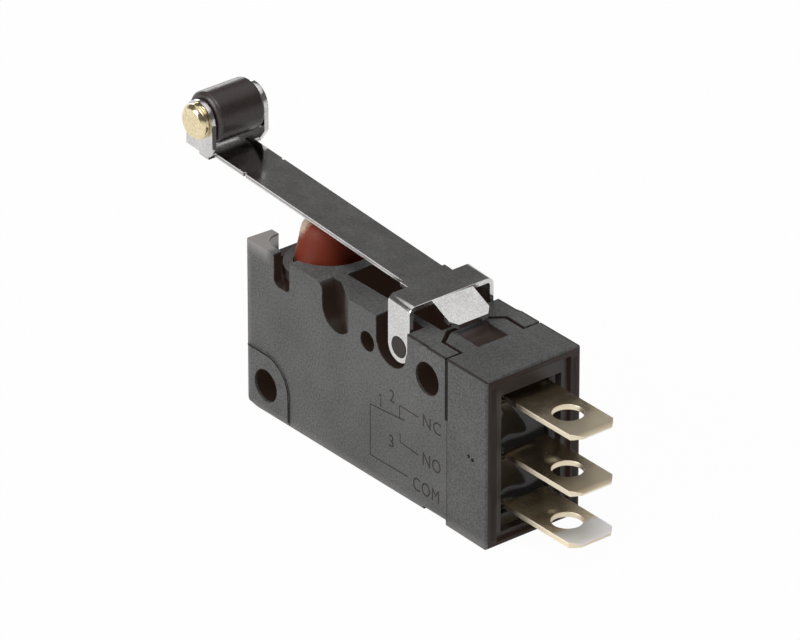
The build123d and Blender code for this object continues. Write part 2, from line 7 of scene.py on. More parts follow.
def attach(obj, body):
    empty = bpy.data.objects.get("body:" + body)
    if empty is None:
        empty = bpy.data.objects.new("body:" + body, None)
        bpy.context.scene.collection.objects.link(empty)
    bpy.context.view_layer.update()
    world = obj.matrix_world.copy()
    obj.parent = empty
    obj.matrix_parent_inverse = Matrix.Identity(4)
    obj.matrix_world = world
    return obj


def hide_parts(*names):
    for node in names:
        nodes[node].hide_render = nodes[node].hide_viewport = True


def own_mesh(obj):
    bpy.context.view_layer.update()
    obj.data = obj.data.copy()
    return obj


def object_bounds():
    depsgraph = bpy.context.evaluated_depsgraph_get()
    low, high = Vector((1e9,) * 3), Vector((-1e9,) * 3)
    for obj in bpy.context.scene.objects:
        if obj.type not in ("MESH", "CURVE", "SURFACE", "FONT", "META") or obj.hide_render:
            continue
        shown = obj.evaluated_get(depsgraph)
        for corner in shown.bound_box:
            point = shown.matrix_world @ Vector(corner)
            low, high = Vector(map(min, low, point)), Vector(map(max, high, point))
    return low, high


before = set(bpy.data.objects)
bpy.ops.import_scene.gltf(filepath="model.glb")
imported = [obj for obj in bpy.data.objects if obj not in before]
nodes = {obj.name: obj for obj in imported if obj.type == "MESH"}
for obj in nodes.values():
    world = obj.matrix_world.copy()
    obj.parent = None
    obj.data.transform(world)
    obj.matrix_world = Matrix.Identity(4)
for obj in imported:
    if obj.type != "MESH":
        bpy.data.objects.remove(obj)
cad_low, cad_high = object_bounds()
scene = bpy.context.scene

# Lengths are the drawing's millimetres, from the left mounting hole and the middle of the case's thickness
MM = 0.001
HOLE_SPAN, HOLE_RISE = 22.2, 10.3
HOME = Vector((-HOLE_SPAN / 2, 0.0, -HOLE_RISE / 2))

# Faces of the case, of its raised pads and of the end block's sleeve
BODY_HALF, PAD_HALF = 5.0, 5.15
CASE_LEFT, CASE_LOW, CASE_TOP = -2.8, -2.8, 13.35
SLEEVE_END, SLEEVE_LOW = 30.2, -2.95


def place(x, y, z):
    """A place in the drawing as a point of the scene, in metres."""
    return (HOME + Vector((x, y, z))) * MM


# Camera at the photograph's viewing angle
VIEW_TURN = math.radians(51.101)
VIEW_RISE = math.radians(28.782)
VIEW_DISTANCE = 800.0
FOCAL_PIXELS = 9188.575
HOLE_PIXEL = (312.284, 367.638)
FRAME_WIDE, FRAME_TALL = 800, 640
SENSOR_WIDE = 36.0
NEAREST, FARTHEST = 0.05, 20.0


def direction(turn, rise):
    """The way towards a point at this turn from the front and this rise, both in radians."""
    return Vector((math.sin(turn) * math.cos(rise), -math.cos(turn) * math.cos(rise), math.sin(rise)))


def add_camera():
    back = direction(VIEW_TURN, VIEW_RISE)
    right = (-back).cross(Vector((0, 0, 1))).normalized()
    up = right.cross(-back)
    across = (HOLE_PIXEL[0] - FRAME_WIDE / 2) * VIEW_DISTANCE / FOCAL_PIXELS
    along = (FRAME_TALL / 2 - HOLE_PIXEL[1]) * VIEW_DISTANCE / FOCAL_PIXELS
    spot = HOME - right * across - up * along + back * VIEW_DISTANCE
    data = bpy.data.cameras.new("camera")
    data.sensor_width = SENSOR_WIDE
    data.lens = FOCAL_PIXELS / FRAME_WIDE * SENSOR_WIDE
    data.clip_start, data.clip_end = NEAREST, FARTHEST
    camera = bpy.data.objects.new("camera", data)
    scene.collection.objects.link(camera)
    turn = Matrix((right, up, back)).transposed()
    camera.matrix_world = Matrix.Translation(spot * MM) @ turn.to_4x4()
    scene.camera = camera


add_camera()

# Most of what a noise texture gives lies between these two values
NOISE_LOW, NOISE_HIGH = 0.3, 0.7


def link(tree, out_socket, in_socket):
    tree.links.new(out_socket, in_socket)


def calculate(tree, operation, *values):
    """A maths step on one value, or on two or more from left to right."""
    node = tree.nodes.new("ShaderNodeMath")
    node.operation = operation
    for socket, value in zip(node.inputs, values[:2]):
        if isinstance(value, (int, float)):
            socket.default_value = value
        else:
            link(tree, value, socket)
    if len(values) > 2:
        return calculate(tree, operation, node.outputs[0], *values[2:])
    return node.outputs[0]


def product(tree, *values):
    return calculate(tree, "MULTIPLY", *values)


def remap(tree, value, low, high, to_low, to_high):
    node = tree.nodes.new("ShaderNodeMapRange")
    for name, number in zip(("From Min", "From Max", "To Min", "To Max"), (low, high, to_low, to_high)):
        node.inputs[name].default_value = number
    link(tree, value, node.inputs["Value"])
    return node.outputs["Result"]


def ramp(tree, value, start, end):
    """From 0 where the value is at start to 1 at end, which may be the lower of the two."""
    return remap(tree, value, start, end, 0.0, 1.0)


def spread(tree, noise, low, high):
    """A value from low to high that follows a noise texture."""
    return remap(tree, noise, NOISE_LOW, NOISE_HIGH, low, high)


def blend_colours(tree, factor, first, second):
    node = tree.nodes.new("ShaderNodeMix")
    node.data_type = "RGBA"
    for socket, value in ((node.inputs[6], first), (node.inputs[7], second)):
        if isinstance(value, tuple):
            socket.default_value = (*value, 1.0)
        else:
            link(tree, value, socket)
    link(tree, factor, node.inputs[0])
    return node.outputs[2]


def distance_from(tree, first, first_place, second, second_place):
    """Distance of two coordinates from a point."""
    squares = []
    for value, middle in ((first, first_place), (second, second_place)):
        gap = calculate(tree, "SUBTRACT", value, middle)
        squares.append(product(tree, gap, gap))
    return calculate(tree, "SQRT", calculate(tree, "ADD", *squares))


def drawn_point(tree):
    """The place of a point on the piece, in the drawing's millimetres."""
    where = tree.nodes.new("ShaderNodeTexCoord")
    mapping = tree.nodes.new("ShaderNodeMapping")
    mapping.inputs["Location"].default_value = -HOME
    mapping.inputs["Scale"].default_value = (1 / MM, 1 / MM, 1 / MM)
    link(tree, where.outputs["Object"], mapping.inputs["Vector"])
    return mapping.outputs["Vector"]


def parted(tree, vector):
    """The three numbers of a vector."""
    parts = tree.nodes.new("ShaderNodeSeparateXYZ")
    link(tree, vector, parts.inputs[0])
    return parts.outputs


def noise(tree, vector, scale, detail, rough=0.5):
    """A noise texture whose scale is a number or a group's input."""
    texture = tree.nodes.new("ShaderNodeTexNoise")
    texture.inputs["Detail"].default_value = detail
    texture.inputs["Roughness"].default_value = rough
    link(tree, vector, texture.inputs["Vector"])
    if isinstance(scale, float):
        texture.inputs["Scale"].default_value = scale
    else:
        link(tree, scale, texture.inputs["Scale"])
    return texture.outputs["Fac"]


# Node groups that the materials share
def group_shell(name, inputs, outputs):
    tree = bpy.data.node_groups.new(name, "ShaderNodeTree")
    for label, kind, value in inputs:
        socket = tree.interface.new_socket(label, in_out="INPUT", socket_type=kind)
        socket.default_value = value
    for label, kind in outputs:
        tree.interface.new_socket(label, in_out="OUTPUT", socket_type=kind)
    return tree, tree.nodes.new("NodeGroupInput"), tree.nodes.new("NodeGroupOutput")


def use_group(tree, group):
    node = tree.nodes.new("ShaderNodeGroup")
    node.node_tree = group
    return node


FINE_GRAIN, SLOW_TONE = 5200.0, 160.0


def moulded_grain_group():
    """Fine spark grain of a moulded surface, with a slow change of tone."""
    tree, into, out = group_shell(
        "moulded grain",
        (("Grain Scale", "NodeSocketFloat", FINE_GRAIN), ("Tone Scale", "NodeSocketFloat", SLOW_TONE)),
        (("Height", "NodeSocketFloat"), ("Tone", "NodeSocketFloat")))
    where = tree.nodes.new("ShaderNodeTexCoord").outputs["Object"]
    link(tree, noise(tree, where, into.outputs["Grain Scale"], 4.0, 0.6), out.inputs["Height"])
    link(tree, noise(tree, where, into.outputs["Tone Scale"], 3.0), out.inputs["Tone"])
    return tree


ALONG_STRIP = (400.0, 9000.0, 9000.0)
PATCH_SCALE = 420.0


def rolled_lines_group():
    """Fine lines that run along a rolled strip, with the marks of handling between them."""
    tree, into, out = group_shell(
        "rolled lines",
        (("Along", "NodeSocketVector", ALONG_STRIP), ("Patch Scale", "NodeSocketFloat", PATCH_SCALE)),
        (("Height", "NodeSocketFloat"), ("Patches", "NodeSocketFloat")))
    where = tree.nodes.new("ShaderNodeTexCoord").outputs["Object"]
    stretch = tree.nodes.new("ShaderNodeMapping")
    link(tree, where, stretch.inputs["Vector"])
    link(tree, into.outputs["Along"], stretch.inputs["Scale"])
    link(tree, noise(tree, stretch.outputs["Vector"], 1.0, 3.0), out.inputs["Height"])
    link(tree, noise(tree, where, into.outputs["Patch Scale"], 5.0, 0.65), out.inputs["Patches"])
    return tree


# Heights of the grain that count as its hollows and its peaks
HOLLOW, PEAK = 0.32, 0.68
MOTTLE_COLOURS = ("Hollow Dark", "Hollow Light", "Peak Dark", "Peak Light")


def mottle_group():
    """A colour between dark and light by the slow tone, deeper in the grain's hollows than on its peaks."""
    tree, into, out = group_shell(
        "mottle",
        (("Height", "NodeSocketFloat", 0.5), ("Tone", "NodeSocketFloat", 0.5),
         *((label, "NodeSocketColor", (1, 1, 1, 1)) for label in MOTTLE_COLOURS)),
        (("Colour", "NodeSocketColor"),))
    shades = [into.outputs[label] for label in MOTTLE_COLOURS]
    hollow = blend_colours(tree, into.outputs["Tone"], *shades[:2])
    peak = blend_colours(tree, into.outputs["Tone"], *shades[2:])
    speck = ramp(tree, into.outputs["Height"], HOLLOW, PEAK)
    link(tree, blend_colours(tree, speck, hollow, peak), out.inputs["Colour"])
    return tree


# Where the matt skin of the outer faces starts and where it is whole, then where edges get painted highlights
# and painted shade
SKIN_SIDE = (BODY_HALF - 0.14, BODY_HALF - 0.06)
SKIN_TOP = (CASE_TOP - 0.17, CASE_TOP - 0.09)
SKIN_UNDER = (CASE_LOW + 0.32, CASE_LOW + 0.27)
SKIN_LEFT = (CASE_LEFT + 0.1, CASE_LEFT + 0.05)
NO_LIMIT = 1000.0
PEG_X, PEG_Z, PEG_REACH = 17.7, 11.26, 0.97
LIP_LEFT, LIP_UP = (0.5, -0.1), (11.75, 12.55)
LOW_RIM, LEFT_RIM, RIM_SHARE = (-1.95, -2.85), (-2.0, -2.8), 0.5
POST_HIGHLIGHT_LEFT, POST_HIGHLIGHT_UP, POST_HIGHLIGHT_FRONT = (0.7, 0.0), (12.05, CASE_TOP), (0.0, -2.0)
PAINTED_SHADE_IN, PAINTED_SHADE_DOWN, PAINTED_SHADE_WIDE = 0.03, 0.02, 0.14
PAINTED_SHADE_FROM, PAD_FROM = 19.4, 22.2


def outer_skin_group():
    """Share is 1 on the outer faces, which the mould leaves matt, and 0 inside notches, wells and holes,
    whose darker colour is painted shade. Painted Light is a painted highlight towards the lower and left
    edges and on the left post, Painted Shade is painted along the upper edges, and Lip is a painted glow on
    the left post's inner faces."""
    tree, into, out = group_shell(
        "outer skin", (("Right Limit", "NodeSocketFloat", NO_LIMIT),),
        [(label, "NodeSocketFloat") for label in ("Share", "Painted Light", "Painted Shade", "Lip")])
    x, y, z = parted(tree, drawn_point(tree))
    aside = calculate(tree, "ABSOLUTE", y)
    sides = ramp(tree, aside, *SKIN_SIDE)
    share = calculate(tree, "MAXIMUM", sides, ramp(tree, z, *SKIN_TOP), ramp(tree, z, *SKIN_UNDER),
                      ramp(tree, x, *SKIN_LEFT))
    short = calculate(tree, "LESS_THAN", x, into.outputs["Right Limit"])
    off_peg = calculate(tree, "GREATER_THAN", distance_from(tree, x, PEG_X, z, PEG_Z), PEG_REACH)
    link(tree, product(tree, share, short, off_peg), out.inputs["Share"])
    link(tree, product(tree, ramp(tree, x, *LIP_LEFT), ramp(tree, z, *LIP_UP)), out.inputs["Lip"])
    rims = calculate(tree, "MAXIMUM", ramp(tree, z, *LOW_RIM), ramp(tree, x, *LEFT_RIM))
    post_highlight = product(tree, ramp(tree, x, *POST_HIGHLIGHT_LEFT), ramp(tree, z, *POST_HIGHLIGHT_UP), ramp(tree, y, *POST_HIGHLIGHT_FRONT))
    link(tree, calculate(tree, "MAXIMUM", product(tree, rims, RIM_SHARE, sides), post_highlight),
         out.inputs["Painted Light"])
    painted_shades = []
    for half, start, end in ((PAD_HALF, PAD_FROM, NO_LIMIT), (BODY_HALF, PAINTED_SHADE_FROM, PAD_FROM)):
        gap = distance_from(tree, aside, half - PAINTED_SHADE_IN, z, CASE_TOP - PAINTED_SHADE_DOWN)
        painted_shades.append(product(tree, calculate(tree, "LESS_THAN", gap, PAINTED_SHADE_WIDE),
                             calculate(tree, "GREATER_THAN", x, start), calculate(tree, "LESS_THAN", x, end)))
    link(tree, calculate(tree, "MAXIMUM", *painted_shades), out.inputs["Painted Shade"])
    return tree


MOULDED_GRAIN = moulded_grain_group()
ROLLED_LINES = rolled_lines_group()
MOTTLE = mottle_group()
OUTER_SKIN = outer_skin_group()

# Patches of a rolled metal are wholly dark and wholly light at these two values
PATCH_LOW, PATCH_HIGH = 0.35, 0.65


def new_material(name):
    material = bpy.data.materials.new(name)
    material.use_nodes = True
    return material, material.node_tree, material.node_tree.nodes["Principled BSDF"]


def add_bump(tree, shader, height, depth):
    """Bump with a depth in millimetres."""
    bump = tree.nodes.new("ShaderNodeBump")
    bump.inputs["Distance"].default_value = depth * MM
    link(tree, height, bump.inputs["Height"])
    link(tree, bump.outputs["Normal"], shader.inputs["Normal"])


def mottled(tree, height, tone, dark, light, hollow, peak):
    """Mottle between two colours, with the share of each in the grain's hollows and on its peaks."""
    node = use_group(tree, MOTTLE)
    link(tree, height, node.inputs["Height"])
    link(tree, tone, node.inputs["Tone"])
    for label, colour, share in zip(MOTTLE_COLOURS, (dark, light, dark, light), (*hollow, *peak)):
        node.inputs[label].default_value = (*(part * share for part in colour), 1.0)
    return node.outputs["Colour"]


def moulded(name, dark, light, rough, grain=FINE_GRAIN, depth=0.012):
    """Plain moulded plastic, rubber or resin."""
    material, tree, shader = new_material(name)
    skin = use_group(tree, MOULDED_GRAIN)
    skin.inputs["Grain Scale"].default_value = grain
    tone = spread(tree, skin.outputs["Tone"], 0.0, 1.0)
    link(tree, blend_colours(tree, tone, dark, light), shader.inputs["Base Color"])
    link(tree, spread(tree, skin.outputs["Height"], *rough), shader.inputs["Roughness"])
    add_bump(tree, shader, skin.outputs["Height"], depth)
    return material


# A painted pale sheen on the boot's left shoulder, where it would catch light from the room
PAINTED_SHEEN_SPOT = (1.2, -1.85, 15.35)
PAINTED_SHEEN = (0.52, 0.42, 0.31)
PAINTED_SHEEN_WHOLE, PAINTED_SHEEN_END, PAINTED_SHEEN_SHARE = 0.6, 1.3, 0.8
PAINTED_SHEEN_RAGGED = 0.25
RUBBER_GRAIN = 3000.0
RUBBER_ROUGH = (0.5, 0.62)
RUBBER_GLOSS = 0.25


def boot_skin(name, dark, light):
    """Soft red rubber with a painted pale sheen on one shoulder."""
    material, tree, shader = new_material(name)
    skin = use_group(tree, MOULDED_GRAIN)
    skin.inputs["Grain Scale"].default_value = RUBBER_GRAIN
    colour = blend_colours(tree, spread(tree, skin.outputs["Tone"], 0.0, 1.0), dark, light)
    gap = tree.nodes.new("ShaderNodeVectorMath")
    gap.operation = "DISTANCE"
    gap.inputs[1].default_value = PAINTED_SHEEN_SPOT
    link(tree, drawn_point(tree), gap.inputs[0])
    ragged = calculate(tree, "ADD", gap.outputs["Value"],
                       spread(tree, skin.outputs["Height"], -PAINTED_SHEEN_RAGGED, PAINTED_SHEEN_RAGGED))
    # Painted sheen, strongest at the spot and ragged at its edge
    sheen = remap(tree, ragged, PAINTED_SHEEN_WHOLE, PAINTED_SHEEN_END, PAINTED_SHEEN_SHARE, 0.0)
    link(tree, blend_colours(tree, sheen, colour, PAINTED_SHEEN), shader.inputs["Base Color"])
    link(tree, spread(tree, skin.outputs["Height"], *RUBBER_ROUGH), shader.inputs["Roughness"])
    shader.inputs["Specular IOR Level"].default_value = RUBBER_GLOSS
    add_bump(tree, shader, skin.outputs["Height"], 0.006)
    return material


# Emission as a painted glow: dim in recesses, brighter on the left post's inner faces
PAINTED_RECESS_GLOW = (0.011, 0.0058, 0.004)
PAINTED_LIP_GLOW = (0.2, 0.19, 0.185)
BLACK = (0, 0, 0)
PAINTED_LIGHT = (0.26, 0.245, 0.238)
PAINTED_SHADE = (0.02, 0.0155, 0.0135)
MATT_ROUGH, RECESS_ROUGH = (0.44, 0.6), 0.34
SKIN_GLOSS = 0.27


def skinned(name, inside, dark, light, right_limit=NO_LIMIT):
    """Moulded plastic, matt grey on its outer faces and smooth in its recesses, where a much darker colour is
    painted shade.
    """
    material, tree, shader = new_material(name)
    skin = use_group(tree, MOULDED_GRAIN)
    outer = use_group(tree, OUTER_SKIN)
    outer.inputs["Right Limit"].default_value = right_limit
    share = outer.outputs["Share"]
    tone = spread(tree, skin.outputs["Tone"], 0.0, 1.0)
    matt = mottled(tree, skin.outputs["Height"], tone, dark, light, hollow=(0.5, 0.56), peak=(1.4, 1.48))
    # Painted highlights on the lower and left edges and the left post, and painted shade along the upper
    # edges
    matt = blend_colours(tree, outer.outputs["Painted Light"], matt, PAINTED_LIGHT)
    matt = blend_colours(tree, outer.outputs["Painted Shade"], matt, PAINTED_SHADE)
    # In recesses the darker inside colour is painted shade
    link(tree, blend_colours(tree, share, inside, matt), shader.inputs["Base Color"])
    matt_rough = product(tree, spread(tree, skin.outputs["Height"], *MATT_ROUGH), share)
    inner_rough = product(tree, calculate(tree, "SUBTRACT", 1.0, share), RECESS_ROUGH)
    link(tree, calculate(tree, "ADD", matt_rough, inner_rough), shader.inputs["Roughness"])
    add_bump(tree, shader, product(tree, skin.outputs["Height"], share), 0.014)
    # Painted glow by emission in recesses and on the left post's inner faces
    painted_glow = blend_colours(tree, outer.outputs["Lip"], PAINTED_RECESS_GLOW, PAINTED_LIP_GLOW)
    link(tree, blend_colours(tree, share, painted_glow, BLACK), shader.inputs["Emission Color"])
    shader.inputs["Emission Strength"].default_value = 1.0
    shader.inputs["Specular IOR Level"].default_value = SKIN_GLOSS
    return material


def rolled(name, dark, light, rough, along=ALONG_STRIP):
    """Bare or plated metal rolled to a strip, or turned where the lines run another way."""
    material, tree, shader = new_material(name)
    shader.inputs["Metallic"].default_value = 1.0
    skin = use_group(tree, ROLLED_LINES)
    skin.inputs["Along"].default_value = along
    grain = use_group(tree, MOULDED_GRAIN).outputs["Height"]
    tone = ramp(tree, skin.outputs["Patches"], PATCH_LOW, PATCH_HIGH)
    tarnish = mottled(tree, grain, tone, dark, light, hollow=(0.82, 0.86), peak=(1.14, 1.2))
    link(tree, tarnish, shader.inputs["Base Color"])
    link(tree, spread(tree, skin.outputs["Patches"], *rough), shader.inputs["Roughness"])
    add_bump(tree, shader, skin.outputs["Height"], 0.003)
    return material


# The strip falls to the right by this share, and the middle of its sheet is this high over the left hole
STRIP_FALL, STRIP_MIDDLE, STRIP_END = 0.062, 16.544, 16.3
TORN_WHOLE, TORN_END, TORN_SHARE = 0.04, 0.08, 0.75
TORN = (0.2, 0.18, 0.17)


def shear_line(material):
    """Darken the middle of the strip's sheared edges, where the sheet tore."""
    tree = material.node_tree
    colour = tree.nodes["Principled BSDF"].inputs["Base Color"]
    x, _, z = parted(tree, drawn_point(tree))
    across = calculate(tree, "ADD", z, product(tree, x, STRIP_FALL))
    off = calculate(tree, "ABSOLUTE", calculate(tree, "SUBTRACT", across, STRIP_MIDDLE))
    torn = product(tree, remap(tree, off, TORN_WHOLE, TORN_END, TORN_SHARE, 0.0),
                   calculate(tree, "LESS_THAN", x, STRIP_END))
    clean = colour.links[0].from_socket
    link(tree, blend_colours(tree, torn, clean, TORN), colour)


TAB_DARK = (0.6, 0.5, 0.345)
TAB_LIGHT = (0.74, 0.635, 0.455)
TAB_EDGE_HIGHLIGHT = (0.93, 0.82, 0.64)
TAB_ROUGH, TAB_SMEARED = 0.2, 0.28
TIP_DULL, TIP_DULL_FROM, TIP_DULL_TO = 0.12, 33.0, 37.3
TIP_FROM, TIP_TO = 35.4, 36.0
EDGE_FROM, EDGE_TO, EDGE_ROUGH = 28.3, 31.6, 0.38
FLAT_FACE = 0.8
RUB_X, RUB_WHOLE, RUB_END, RUB_ROUGH, RUB_TOP = 32.7, 0.2, 1.2, 0.6, 9.15


def tab_metal(name, tip, dull=0.0):
    """Plated strip, duller towards the tip, with a painted highlight along its sheared edges, and rubbed
    beside the hole.
    """
    material, tree, shader = new_material(name)
    shader.inputs["Metallic"].default_value = 1.0
    skin = use_group(tree, ROLLED_LINES)
    patches = skin.outputs["Patches"]
    grain = use_group(tree, MOULDED_GRAIN).outputs["Height"]
    x, y, z = parted(tree, drawn_point(tree))
    tone = ramp(tree, patches, PATCH_LOW, PATCH_HIGH)
    colour = mottled(tree, grain, tone, TAB_DARK, TAB_LIGHT, hollow=(0.95, 0.95), peak=(1.33, 1.33))
    colour = blend_colours(tree, ramp(tree, x, TIP_FROM, TIP_TO), colour, tip)
    # Upright edge faces get a painted highlight
    facing = parted(tree, tree.nodes.new("ShaderNodeNewGeometry").outputs["True Normal"])
    upright = calculate(tree, "LESS_THAN", calculate(tree, "ABSOLUTE", facing[2]), FLAT_FACE)
    edge = product(tree, upright, ramp(tree, x, EDGE_FROM, EDGE_TO))
    link(tree, blend_colours(tree, edge, colour, TAB_EDGE_HIGHLIGHT), shader.inputs["Base Color"])
    duller = product(tree, ramp(tree, x, TIP_DULL_FROM, TIP_DULL_TO), TIP_DULL + dull)
    rough = calculate(tree, "ADD", spread(tree, patches, TAB_ROUGH + dull, TAB_SMEARED + dull), duller)
    rub = remap(tree, distance_from(tree, x, RUB_X, y, 0.0), RUB_WHOLE, RUB_END, RUB_ROUGH, 0.0)
    rub = product(tree, rub, calculate(tree, "LESS_THAN", z, RUB_TOP))
    link(tree, calculate(tree, "MAXIMUM", rough, rub, product(tree, edge, EDGE_ROUGH)),
         shader.inputs["Roughness"])
    add_bump(tree, shader, skin.outputs["Height"], 0.0015)
    return material


case_plastic = skinned("case plastic", (0.012, 0.0095, 0.008), (0.082, 0.0815, 0.08), (0.103, 0.1025, 0.101))
# Past the right limit the sleeve's end face also takes the darker colour, as painted shade
end_plastic = skinned("end block plastic", (0.019, 0.0142, 0.0125), (0.075, 0.0745, 0.0735),
                      (0.088, 0.0875, 0.086), right_limit=SLEEVE_END - 0.05)
base_plastic = moulded("terminal base plastic", (0.041, 0.033, 0.03), (0.052, 0.043, 0.039), (0.32, 0.45))
roller_plastic = moulded("roller plastic", (0.032, 0.0235, 0.021), (0.04, 0.03, 0.027), (0.24, 0.34),
                         grain=2600.0, depth=0.004)
boot_rubber = boot_skin("boot rubber", (0.143, 0.018, 0.007), (0.185, 0.027, 0.0107))
guide_plastic = moulded("guide plastic", (0.45, 0.42, 0.33), (0.5, 0.47, 0.38), (0.4, 0.5))
gasket_rubber = moulded("gasket rubber", (0.015, 0.015, 0.015), (0.025, 0.025, 0.025), (0.6, 0.7))
resin = moulded("sealing resin", (0.011, 0.008, 0.006), (0.016, 0.012, 0.009), (0.06, 0.12),
                grain=900.0, depth=0.01)
lever_steel = rolled("lever steel", (0.68, 0.665, 0.655), (0.75, 0.735, 0.725), (0.09, 0.16))
shear_line(lever_steel)
tab_brass = tab_metal("terminal brass", (0.88, 0.76, 0.56))
bare_tab = tab_metal("terminal brass with a bare tip", (0.96, 0.95, 0.94), dull=0.14)
spring_copper = rolled("spring copper", (0.6, 0.33, 0.18), (0.7, 0.4, 0.22), (0.25, 0.35))
contact_silver = rolled("contact silver", (0.75, 0.75, 0.73), (0.85, 0.85, 0.83), (0.15, 0.25))
pin_brass = rolled("pin brass", (0.86, 0.71, 0.44), (0.93, 0.79, 0.52), (0.1, 0.18),
                   along=(900.0, 9000.0, 900.0))

# Mesh helpers
MERGE = 0.002 * MM
FLATTEN = math.radians(0.6)
CORNER = math.radians(34.0)
ROUND_CUTS = (22.5, 45.0, 67.5)


def only(obj):
    bpy.ops.object.select_all(action="DESELECT")
    obj.select_set(True)
    bpy.context.view_layer.objects.active = obj


def smooth(obj, degrees):
    only(obj)
    bpy.ops.object.shade_smooth_by_angle(angle=math.radians(degrees))


def settle(obj):
    only(obj)
    bpy.ops.object.transform_apply(location=True, rotation=True, scale=True)


def edit_whole():
    """Go into edit mode with everything selected."""
    bpy.ops.object.mode_set(mode="EDIT")
    bpy.ops.mesh.select_all(action="SELECT")


def face_out(merge=0.0):
    """Turn the faces of the active piece outwards, after its doubles are merged where a distance is given."""
    edit_whole()
    if merge:
        bpy.ops.mesh.remove_doubles(threshold=merge)
    bpy.ops.mesh.normals_make_consistent(inside=False)
    bpy.ops.object.mode_set(mode="OBJECT")


def dress(obj, material):
    obj.data.materials.clear()
    obj.data.materials.append(material)


def fit(obj, material, body, node=None):
    """Give a piece its material and its body, and hide the CAD node that it stands for."""
    dress(obj, material)
    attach(obj, body)
    if node:
        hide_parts(node)


def copy_of(node, name):
    """A copy of a CAD node with a mesh of its own."""
    obj = nodes[node].copy()
    obj.data = nodes[node].data.copy()
    obj.name = obj.data.name = name
    obj.parent = None
    obj.matrix_world = Matrix.Identity(4)
    scene.collection.objects.link(obj)
    return obj


def round_over(corner, first, second, radius):
    """Round one long straight edge of the mesh in edit mode, with planes cut between its two sides."""
    first, second = Vector(first), Vector(second)
    centre = corner - (first + second) * radius * MM
    for degrees in ROUND_CUTS:
        turn = math.radians(degrees)
        out = first * math.cos(turn) + second * math.sin(turn)
        bpy.ops.mesh.select_all(action="SELECT")
        bpy.ops.mesh.bisect(plane_co=centre + out * radius * MM, plane_no=out, use_fill=True,
                            clear_outer=True)


def softened(node, name, width, material, body="housing", worn=()):
    """A copy of a CAD node with its sharp edges rounded, shown in its place."""
    obj = copy_of(node, name)
    only(obj)
    edit_whole()
    bpy.ops.mesh.remove_doubles(threshold=MERGE)
    bpy.ops.mesh.dissolve_limited(angle_limit=FLATTEN)
    for corner, first, second, radius in worn:
        round_over(corner, first, second, radius)
    bpy.ops.object.mode_set(mode="OBJECT")
    bevel = obj.modifiers.new("edges", "BEVEL")
    bevel.width = width * MM
    bevel.segments = 3
    bevel.limit_method = "ANGLE"
    bevel.angle_limit = CORNER
    bevel.use_clamp_overlap = True
    bevel.miter_outer = "MITER_ARC"
    bpy.ops.object.modifier_apply(modifier=bevel.name)
    smooth(obj, 40.0)
    level = obj.modifiers.new("level faces", "WEIGHTED_NORMAL")
    level.weight = 100
    level.keep_sharp = True
    bpy.ops.object.modifier_apply(modifier=level.name)
    fit(obj, material, body, node)
    return obj


DOWN, UP, LEFT, TO_FRONT, TO_BACK = (0, 0, -1), (0, 0, 1), (-1, 0, 0), (0, -1, 0), (0, 1, 0)
LOW_EDGE_WORN, POST_EDGE_WORN = 0.25, 0.3
END_MIDDLE = 27.0


def worn_low_edges(x, half, low):
    """The lower front and back edges of a block."""
    return tuple((place(x, side * half, low), out, DOWN, LOW_EDGE_WORN)
                 for side, out in ((-1, TO_FRONT), (1, TO_BACK)))


case_shell = softened("case", "case_shell", 0.07, case_plastic,
                      worn=(*worn_low_edges(0, BODY_HALF, CASE_LOW),
                            (place(CASE_LEFT, 0, CASE_TOP), LEFT, UP, POST_EDGE_WORN)))
softened("end_block", "end_shell", 0.07, end_plastic,
         worn=worn_low_edges(END_MIDDLE, PAD_HALF, SLEEVE_LOW))
softened("terminal_base", "base_ring", 0.06, base_plastic)
for tab_node, metal in (("terminal_nc", tab_brass), ("terminal_no", tab_brass), ("terminal_com", bare_tab)):
    softened(tab_node, tab_node.replace("terminal", "tab"), 0.04, metal)
stamped_lever = softened("lever", "stamped_lever", 0.05, lever_steel, body="lever")
softened("roller", "black_roller", 0.12, roller_plastic, body="roller")
softened("roller_pin", "turned_pin", 0.05, pin_brass, body="lever")

# The case's underside steps up near its right end, further left and a little higher than in the solid
STEP_X, STEP_NEAR, STEP_SHIFT = 22.2, 0.15, 0.75
STEP_HIGH, STEP_LOW, STEP_LIFT = -2.45, -2.65, 0.1


def move_step(obj):
    for vertex in obj.data.vertices:
        x, _, z = vertex.co / MM - HOME
        if x > STEP_X - STEP_NEAR and z < STEP_HIGH:
            if z > STEP_LOW:
                vertex.co.z += STEP_LIFT * MM
            if x < STEP_X + STEP_NEAR:
                vertex.co.x -= STEP_SHIFT * MM


# The left edge of the yoke's floor runs at a slant, further out under the back of the roller
FLOOR_EDGE, FLOOR_NEAR = -11.68, 0.1
FLOOR_HALF, FLOOR_TOP = 2.68, 17.55
FLOOR_OUT, FLOOR_SLANT = 0.06, 0.1


def slant_floor(obj):
    for vertex in obj.data.vertices:
        x, y, z = vertex.co / MM - HOME
        if FLOOR_EDGE - FLOOR_NEAR < x < FLOOR_EDGE and abs(y) < FLOOR_HALF and z < FLOOR_TOP:
            vertex.co.x -= (FLOOR_OUT + FLOOR_SLANT * (y + FLOOR_HALF)) * MM


move_step(case_shell)
slant_floor(stamped_lever)

# Inner pieces, which keep the solids' shape
for node, material in (("case_gasket", gasket_rubber), ("contact_nc", contact_silver),
                       ("contact_no", contact_silver), ("blade_anchor", tab_brass),
                       ("plunger_guide", guide_plastic), ("boot_retainer", base_plastic),
                       ("plunger", guide_plastic), ("moving_blade", spring_copper),
                       ("moving_contact", contact_silver)):
    dress(nodes[node], material)


